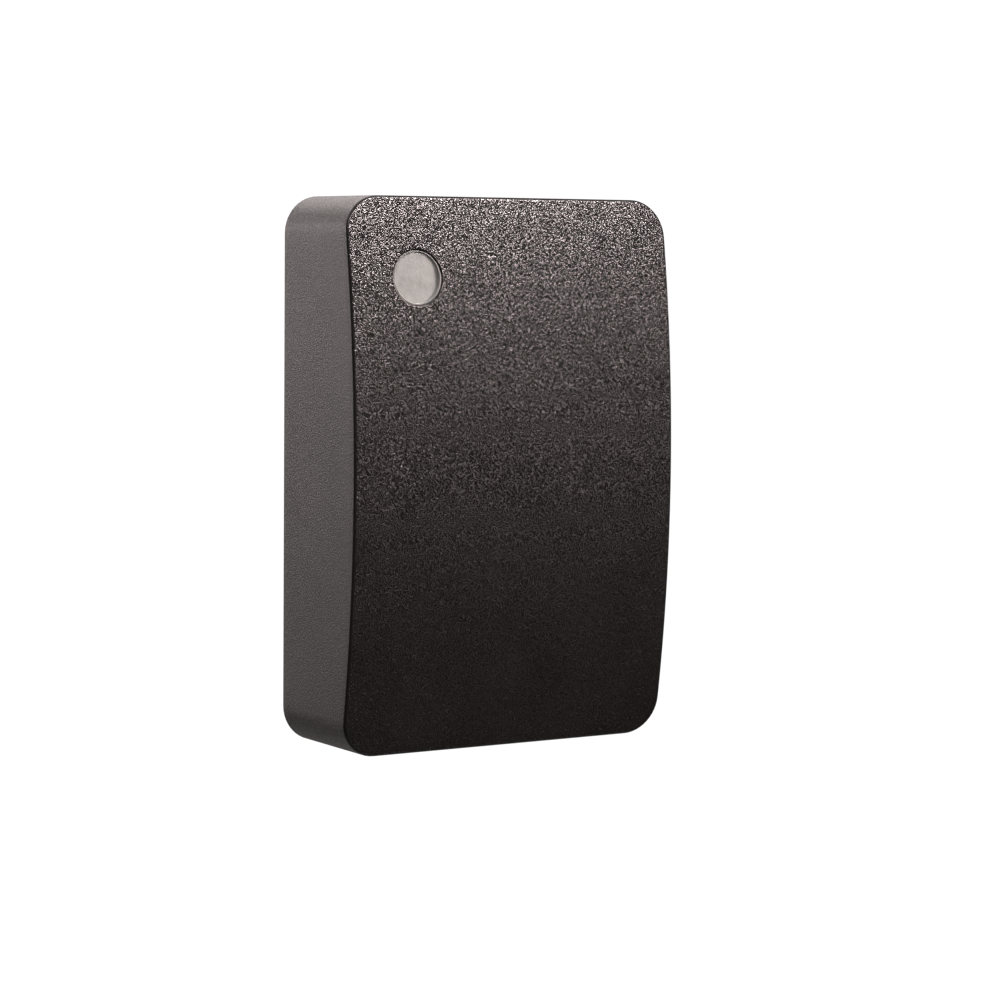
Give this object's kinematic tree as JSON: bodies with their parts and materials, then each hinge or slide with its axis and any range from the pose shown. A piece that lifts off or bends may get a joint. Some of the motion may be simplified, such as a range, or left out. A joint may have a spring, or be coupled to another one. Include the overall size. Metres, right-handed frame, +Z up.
{
  "type": "rfid card reader",
  "caption": "Wall-mounted contactless card reader: a one-piece convex plastic cover with a round status lens, hooked on a flat back plate and locked by one screw below.",
  "frame": {"origin": "centre of the wall face, the flat rear of the back plate", "axes": "+Z up, +Y into the wall, so the front faces -Y; +X to the right seen from the front"},
  "size_m": [0.08, 0.032, 0.118],
  "materials": {
    "cover_plastic": "fine spark-eroded grain, coarser on the front",
    "lens_plastic": "translucent frosted polycarbonate",
    "seal_rubber": "soft matt",
    "steel": "zinc plated",
    "brass": "turned",
    "copper_wire": "enamelled copper winding",
    "circuit_board": "solder mask over glass laminate",
    "ferrite": "sintered",
    "chip_resin": "moulded resin",
    "can_aluminium": "drawn can",
    "ceramic_chip": "fired ceramic",
    "white_plastic": "moulded",
    "dark_plastic": "moulded",
    "terminal_plastic": "moulded polyamide",
    "switch_plastic": "moulded"
  },
  "bodies": {
    "wall_plate": {"back_plate": "cover_plastic", "wall_gasket": "seal_rubber", "cable_grommet": "seal_rubber"},
    "cover": {"front_cover": "cover_plastic", "status_lens": "lens_plastic", "lens_gasket": "seal_rubber", "threaded_insert": "brass", "main_board": "circuit_board", "board_screws": "steel", "coil_former": "white_plastic", "antenna_coil": "copper_wire", "ferrite_sheet": "ferrite", "controller_chip": "chip_resin", "radio_chip": "chip_resin", "crystal": "can_aluminium", "voltage_regulator": "chip_resin", "inductor": "ferrite", "capacitors": "can_aluminium", "chip_resistors": "ceramic_chip", "status_led": "white_plastic", "buzzer": "chip_resin", "tamper_switch_housing": "dark_plastic", "tamper_spring": "steel", "terminal_block": "terminal_plastic", "address_switch_body": "switch_plastic"},
    "cover_screw": {"cover_screw": "steel"},
    "tamper_plunger": {"tamper_plunger": "white_plastic"},
    "terminal_screw_1": {"terminal_screw_1": "steel"},
    "wire_clamp_1": {"wire_clamp_1": "brass"},
    "terminal_screw_2": {"terminal_screw_2": "steel"},
    "wire_clamp_2": {"wire_clamp_2": "brass"},
    "terminal_screw_3": {"terminal_screw_3": "steel"},
    "wire_clamp_3": {"wire_clamp_3": "brass"},
    "terminal_screw_4": {"terminal_screw_4": "steel"},
    "wire_clamp_4": {"wire_clamp_4": "brass"},
    "switch_slider_1": {"switch_slider_1": "white_plastic"},
    "switch_slider_2": {"switch_slider_2": "white_plastic"}
  },
  "joints": [
    {"name": "cover_swing", "type": "hinge", "parent": "wall_plate", "child": "cover", "pos_m": [0, -0.0005, 0.059], "axis": [-1, 0, 0], "range_deg": [0, 75]},
    {"name": "cover_screw_turn", "type": "hinge", "parent": "cover", "child": "cover_screw", "pos_m": [0, -0.014, -0.0588], "axis": [0, 0, -1], "range_deg": [0, 720]},
    {"name": "tamper_plunger_travel", "type": "slide", "parent": "cover", "child": "tamper_plunger", "axis": [0, 1, 0], "range_m": [0, 0.002], "deforming": ["tamper_spring"]},
    {"name": "terminal_screw_1_turn", "type": "hinge", "parent": "cover", "child": "terminal_screw_1", "pos_m": [-0.0075, -0.0106, 0.0117], "axis": [0, -1, 0], "range_deg": [0, 1296]},
    {"name": "wire_clamp_1_rise", "type": "slide", "parent": "cover", "child": "wire_clamp_1", "axis": [0, 1, 0], "range_m": [0, 0.0018]},
    {"name": "terminal_screw_2_turn", "type": "hinge", "parent": "cover", "child": "terminal_screw_2", "pos_m": [-0.0025, -0.0106, 0.0117], "axis": [0, -1, 0], "range_deg": [0, 1296]},
    {"name": "wire_clamp_2_rise", "type": "slide", "parent": "cover", "child": "wire_clamp_2", "axis": [0, 1, 0], "range_m": [0, 0.0018]},
    {"name": "terminal_screw_3_turn", "type": "hinge", "parent": "cover", "child": "terminal_screw_3", "pos_m": [0.0025, -0.0106, 0.0117], "axis": [0, -1, 0], "range_deg": [0, 1296]},
    {"name": "wire_clamp_3_rise", "type": "slide", "parent": "cover", "child": "wire_clamp_3", "axis": [0, 1, 0], "range_m": [0, 0.0018]},
    {"name": "terminal_screw_4_turn", "type": "hinge", "parent": "cover", "child": "terminal_screw_4", "pos_m": [0.0075, -0.0106, 0.0117], "axis": [0, -1, 0], "range_deg": [0, 1296]},
    {"name": "wire_clamp_4_rise", "type": "slide", "parent": "cover", "child": "wire_clamp_4", "axis": [0, 1, 0], "range_m": [0, 0.0018]},
    {"name": "switch_slider_1_travel", "type": "slide", "parent": "cover", "child": "switch_slider_1", "axis": [0, 0, 1], "range_m": [0, 0.0018]},
    {"name": "switch_slider_2_travel", "type": "slide", "parent": "cover", "child": "switch_slider_2", "axis": [0, 0, 1], "range_m": [0, 0.0018]}
  ],
  "couplings": [
    {"joint": "tamper_plunger_travel", "follows": "cover_swing", "m_per_rad": 0.001527},
    {"joint": "terminal_screw_1_turn", "follows": "wire_clamp_1_rise", "rad_per_m": 12566},
    {"joint": "terminal_screw_2_turn", "follows": "wire_clamp_2_rise", "rad_per_m": 12566},
    {"joint": "terminal_screw_3_turn", "follows": "wire_clamp_3_rise", "rad_per_m": 12566},
    {"joint": "terminal_screw_4_turn", "follows": "wire_clamp_4_rise", "rad_per_m": 12566}
  ]
}
